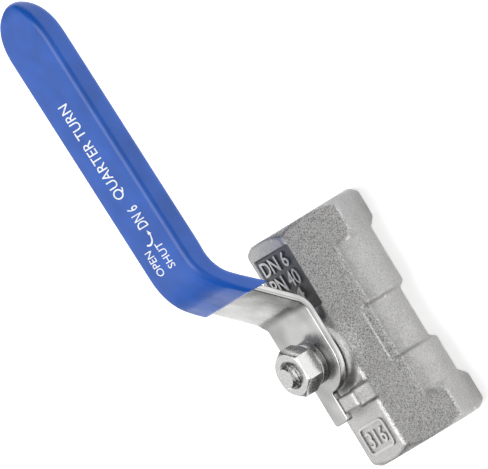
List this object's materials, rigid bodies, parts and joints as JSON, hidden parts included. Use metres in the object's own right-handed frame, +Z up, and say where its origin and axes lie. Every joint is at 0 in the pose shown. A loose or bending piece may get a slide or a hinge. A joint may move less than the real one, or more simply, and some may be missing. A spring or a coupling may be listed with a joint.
{
  "type": "ball valve",
  "caption": "Quarter-turn ball valve: hexagonal cast body with a threaded port at each end, cranked strap lever with a dipped grip sleeve, held by a nut on the stem.",
  "frame": {"origin": "centre of the ball, where the bore axis and the stem axis cross", "axes": "+X along the bore towards the lever's tip with the valve open, +Z up the stem, +Y completes a right-handed frame"},
  "size_m": [0.0897, 0.0202, 0.0363],
  "materials": {
    "cast_body": "investment cast and blasted stainless steel",
    "lever_steel": "pressed and tumbled stainless strip",
    "turned_steel": "turned stainless steel",
    "fastener_steel": "bright stainless fasteners",
    "blue_vinyl": "glossy dipped vinyl",
    "ptfe": "smooth PTFE"
  },
  "bodies": {
    "body": {"valve_body": "cast_body", "end_insert": "turned_steel", "insert_gasket": "ptfe", "seat_insert_side": "ptfe", "seat_body_side": "ptfe", "thrust_washer": "ptfe", "stem_packing_lower": "ptfe", "stem_packing_middle": "ptfe", "stem_packing_upper": "ptfe", "gland_follower": "turned_steel", "gland_nut": "turned_steel"},
    "stem_and_lever": {"stem": "turned_steel", "lever": "lever_steel", "grip_sleeve": "blue_vinyl", "spring_washer": "fastener_steel", "lever_nut": "fastener_steel"},
    "ball": {"ball": "turned_steel"}
  },
  "joints": [
    {"name": "lever_turn", "type": "hinge", "parent": "body", "child": "stem_and_lever", "pos_m": [0, 0, 0], "axis": [0, 0, 1], "range_deg": [-90, 0]},
    {"name": "ball_turn", "type": "hinge", "parent": "body", "child": "ball", "pos_m": [0, 0, 0], "axis": [0, 0, 1], "range_deg": [-90, 0]}
  ],
  "couplings": [
    {"joint": "ball_turn", "follows": "lever_turn", "ratio": 1}
  ]
}
